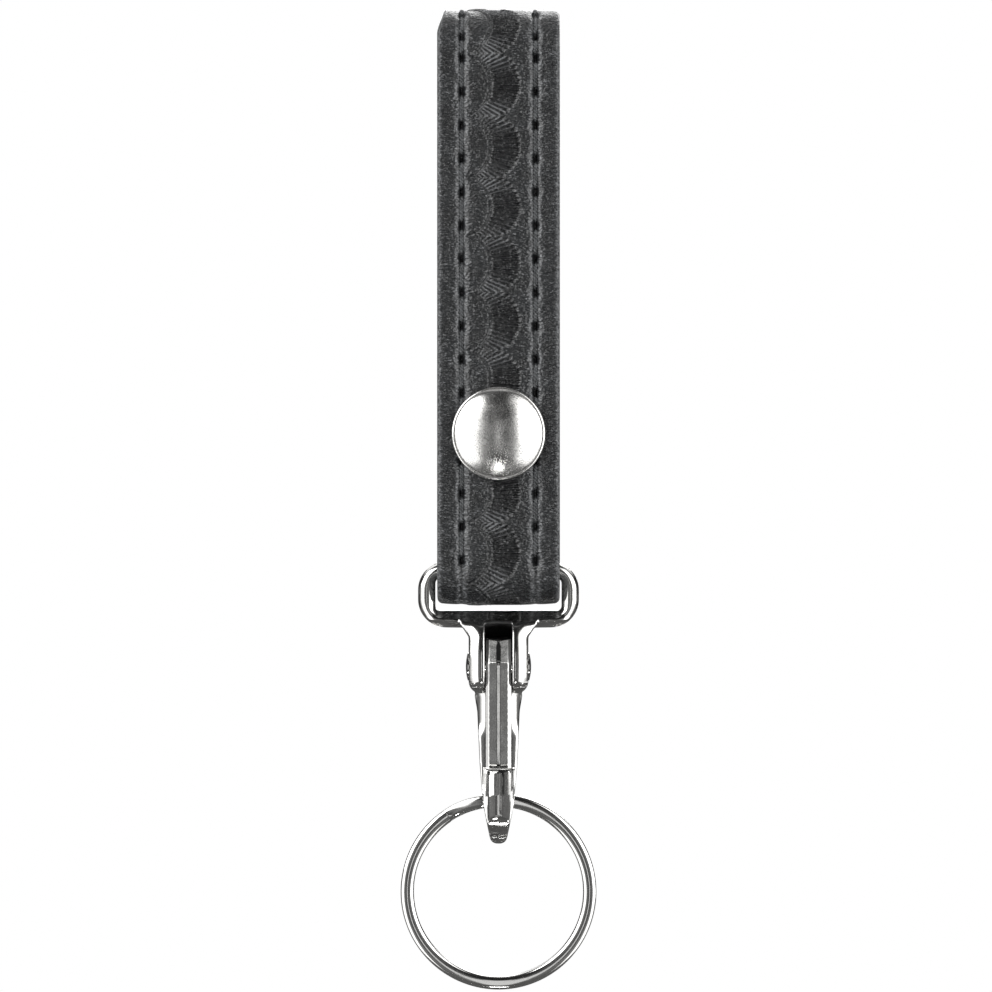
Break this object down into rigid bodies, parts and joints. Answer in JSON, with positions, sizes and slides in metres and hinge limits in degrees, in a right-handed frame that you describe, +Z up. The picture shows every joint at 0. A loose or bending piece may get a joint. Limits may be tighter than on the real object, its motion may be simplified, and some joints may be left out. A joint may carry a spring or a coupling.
{
  "type": "snap key holder",
  "caption": "Stitched leather belt strap with a tooled front and a snap, carrying a trigger snap hook on a fixed eye and a split ring for keys.",
  "frame": {"origin": "inside of the crest of the belt loop, in the middle of the strap's width and halfway through the loop's depth, where the upper edge of a belt rests", "axes": "+Z up the strap, +Y from the tooled front to the flap, +X to the right across the strap as the front is seen"},
  "size_m": [0.0312, 0.0182, 0.1565],
  "materials": {
    "tooled_leather": "grained and tooled, half gloss",
    "lining_leather": "matt, with burnished edges",
    "thread": "waxed and twisted",
    "satin_nickel": "satin nickel plate",
    "polished_nickel": "polished nickel plate over casting",
    "ring_nickel": "polished nickel plate on flat wire",
    "spring_wire": "drawn spring wire"
  },
  "bodies": {
    "strap": {"front_leather": "tooled_leather", "front_lining": "lining_leather", "left_stitching": "thread", "right_stitching": "thread", "snap_cap": "satin_nickel", "cap_post": "satin_nickel", "snap_socket": "satin_nickel", "socket_spring": "spring_wire"},
    "flap": {"flap_leather": "tooled_leather", "flap_lining": "lining_leather", "flap_left_stitching": "thread", "flap_right_stitching": "thread", "snap_stud": "satin_nickel", "stud_rivet": "satin_nickel"},
    "hook": {"hook_body": "polished_nickel", "hinge_pin": "polished_nickel", "trigger_spring": "spring_wire"},
    "trigger": {"trigger": "polished_nickel"},
    "ring": {"split_ring": "ring_nickel"}
  },
  "joints": [
    {"name": "flap_fold", "type": "hinge", "parent": "strap", "child": "flap", "pos_m": [0, 0, 0.0036], "axis": [1, 0, 0], "range_deg": [0, 70], "deforming": ["socket_spring"]},
    {"name": "hook_swing", "type": "hinge", "parent": "strap", "child": "hook", "pos_m": [0, -0.0019, -0.08609], "axis": [1, 0, 0], "range_deg": [-90, 90]},
    {"name": "trigger_press", "type": "hinge", "parent": "hook", "child": "trigger", "pos_m": [0, -0.00355, -0.10144], "axis": [1, 0, 0], "range_deg": [0, 12.5], "stiffness_Nm_per_rad": 0.04, "springref_deg": -22.92, "deforming": ["trigger_spring"]},
    {"name": "ring_swing", "type": "hinge", "parent": "hook", "child": "ring", "pos_m": [0, -0.00265, -0.12278], "axis": [1, 0, 0], "range_deg": [-85, 85]}
  ]
}
